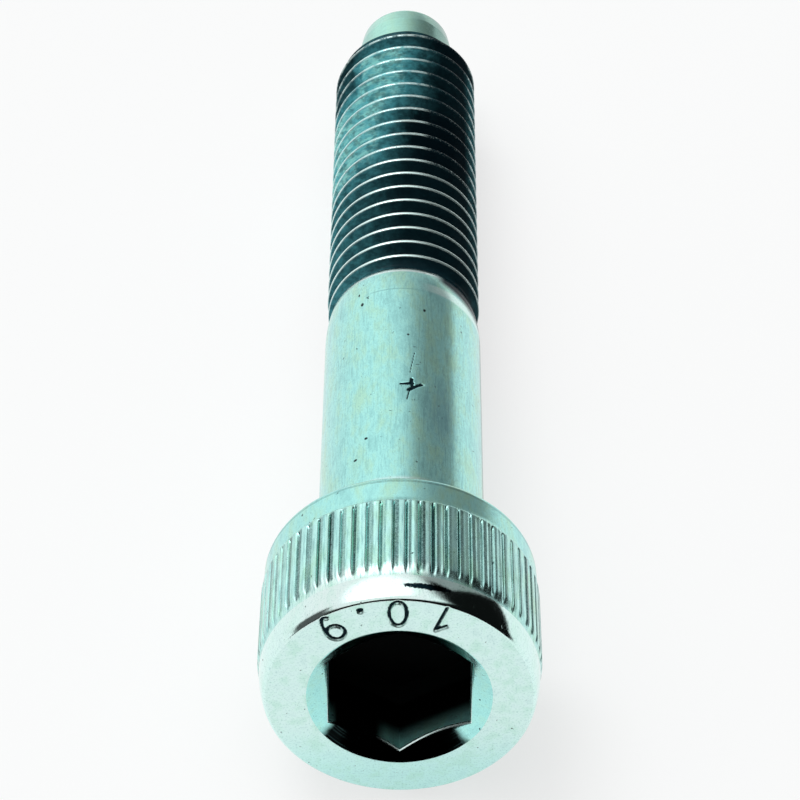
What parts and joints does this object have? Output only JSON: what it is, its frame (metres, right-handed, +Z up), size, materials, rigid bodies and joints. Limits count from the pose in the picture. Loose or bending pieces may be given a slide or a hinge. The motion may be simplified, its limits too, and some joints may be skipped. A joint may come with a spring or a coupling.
{
  "type": "hex socket cap screw",
  "caption": "Cylindrical-head screw with a hexagon socket, a straight-knurled head, a plain shank, a right-hand thread and a short dog point.",
  "frame": {"origin": "on the floor the screw lies on, below the centre of its bounding box", "axes": "+Y from the head's face towards the point (the screw's axis dips 3.4 degrees from +Y, as it rests on the knurl and on the last high crest of the thread), +Z up"},
  "size_m": [0.0162, 0.0664, 0.0164],
  "materials": {
    "zinc_plate": "pale blue-green zinc plating, satin on the shank and head, darker in the thread"
  },
  "bodies": {
    "root": {"cap_screw": "zinc_plate"}
  },
  "joints": []
}
